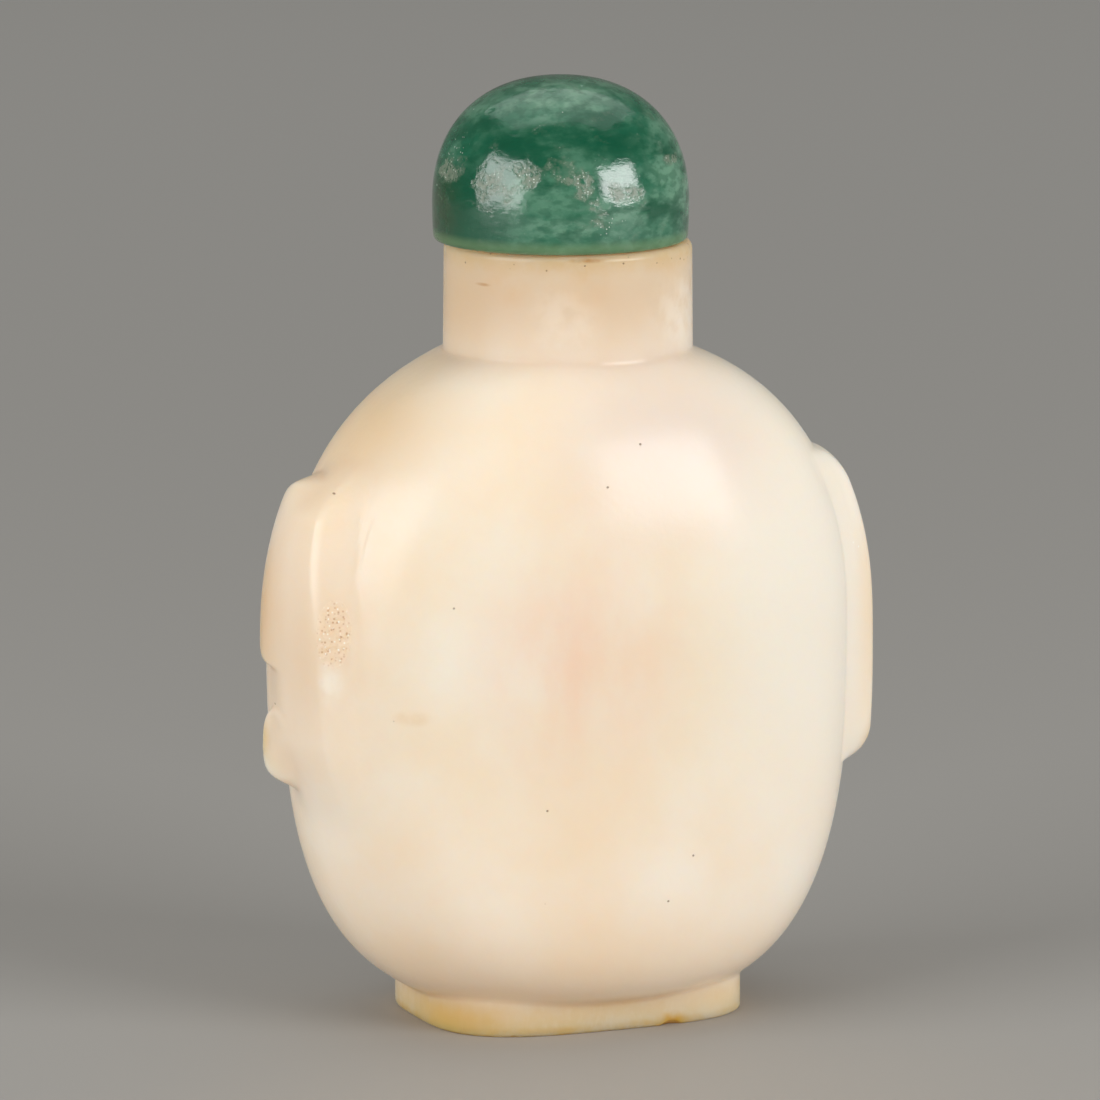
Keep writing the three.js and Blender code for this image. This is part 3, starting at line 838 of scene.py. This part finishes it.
# The table.
# A plain pale floor without an edge in view, a little darker and warmer close to the bottle: painted
# shade darkens it near the bottle, painted light brightens it farther off, and a painted warm glow lies
# just in front of the bottle.

TABLE_HALF = 3.0
TABLE_FAR_PAINTED_LIGHT = (0.52, 0.515, 0.495)
TABLE_NEAR_PAINTED_SHADE = (0.365, 0.355, 0.335)
TABLE_PAINTED_GLOW = (0.46, 0.40, 0.33)
table_mesh = bpy.data.meshes.new("table")
corners = [(-TABLE_HALF, -TABLE_HALF, 0), (TABLE_HALF, -TABLE_HALF, 0)]
corners += [(TABLE_HALF, TABLE_HALF, 0), (-TABLE_HALF, TABLE_HALF, 0)]
table_mesh.from_pydata(corners, [], [(0, 1, 2, 3)])
table = bpy.data.objects.new("table", table_mesh)
bpy.context.scene.collection.objects.link(table)
table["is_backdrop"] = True
table_paint, table_tree, table_shader, table_coords = new_stone("table_paint")
# Painted shade: the floor darkens towards the bottle and is painted lighter farther off.
painted_shade_around_bottle = patch(table_tree, table_coords, (0, 0, 0), (650, 650, 650), 0.0)
paint = tint(table_tree, TABLE_FAR_PAINTED_LIGHT, TABLE_NEAR_PAINTED_SHADE, painted_shade_around_bottle)
# Painted glow: warm light from the stone, painted on the floor in front of the bottle.
painted_glow_before_bottle = patch(table_tree, table_coords, (-14, -34, 0), (48, 36, 36), 0.0)
paint = tint(table_tree, paint, TABLE_PAINTED_GLOW, painted_glow_before_bottle, 0.4)
table_tree.links.new(paint, table_shader.inputs["Base Color"])
table_shader.inputs["Roughness"].default_value = 0.75
table_mesh.materials.append(table_paint)


# Camera and lights.
# The camera looks a little down on the front face from the -X side. Two small softboxes stand left
# and right of it, and a wide one hangs overhead, behind the bottle.

CAMERA = {
    "turn": -22.5,
    "rise": 10.0,
    "distance": 550,
    "look_z": 31.08,
    "look_right": -1.185,
    "lens": 268.9,
}
ROOM_LIGHT = {"colour": (1.0, 0.96, 0.88, 1), "strength": 0.16}


def towards(turn, rise):
    """Unit vector from the bottle, turned in degrees from its front (-Y) and raised from level."""
    turn, rise = math.radians(turn), math.radians(rise)
    return Vector((math.sin(turn) * math.cos(rise), -math.cos(turn) * math.cos(rise), math.sin(rise)))


def facing(position, target):
    """Matrix that puts a lamp or camera at position, looking at target, level with the floor."""
    back = (position - target).normalized()
    right = Vector((0, 0, 1)).cross(back).normalized()
    frame_axes = Matrix((right, back.cross(right), back)).transposed()
    return Matrix.Translation(position) @ frame_axes.to_4x4()


right_of_view = Vector((0, 0, 1)).cross(towards(CAMERA["turn"], 0))
look_at = (right_of_view * CAMERA["look_right"] + Vector((0, 0, CAMERA["look_z"]))) * MM
lens = bpy.data.cameras.new("camera")
lens.lens = CAMERA["lens"]
lens.sensor_width = 36
lens.clip_end = 10
camera = bpy.data.objects.new("camera", lens)
eye = look_at + towards(CAMERA["turn"], CAMERA["rise"]) * CAMERA["distance"] * MM
camera.matrix_world = facing(eye, look_at)
bpy.context.scene.collection.objects.link(camera)
bpy.context.scene.camera = camera

LIGHTS = {
    "left_box": {"turn": -78, "rise": 17, "distance": 0.55, "size": (0.44, 0.34), "power": 2.4},
    "right_box": {"turn": 33, "rise": 16.5, "distance": 0.55, "size": (0.34, 0.24), "power": 2.38},
    "top_box": {"turn": 157.5, "rise": 72, "distance": 2.0, "size": (2.9, 2.1), "power": 13.4},
}
lit_point = Vector((0, 0, 0.03))
for name, box in LIGHTS.items():
    lamp = bpy.data.lights.new(name, "AREA")
    lamp.shape = "RECTANGLE"
    lamp.size, lamp.size_y = box["size"]
    lamp.energy = box["power"]
    stand = bpy.data.objects.new(name, lamp)
    lamp_place = lit_point + towards(box["turn"], box["rise"]) * box["distance"]
    stand.matrix_world = facing(lamp_place, lit_point)
    bpy.context.scene.collection.objects.link(stand)
bpy.context.scene.view_settings.view_transform = "Standard"
world = bpy.data.worlds.new("room")
world.use_nodes = True
background = world.node_tree.nodes["Background"]
background.inputs["Color"].default_value = ROOM_LIGHT["colour"]
background.inputs["Strength"].default_value = ROOM_LIGHT["strength"]
bpy.context.scene.world = world

boxes = {"cad": cad_box, "visual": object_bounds()}
boxes = {name: [[float(v) for v in corner] for corner in box] for name, box in boxes.items()}
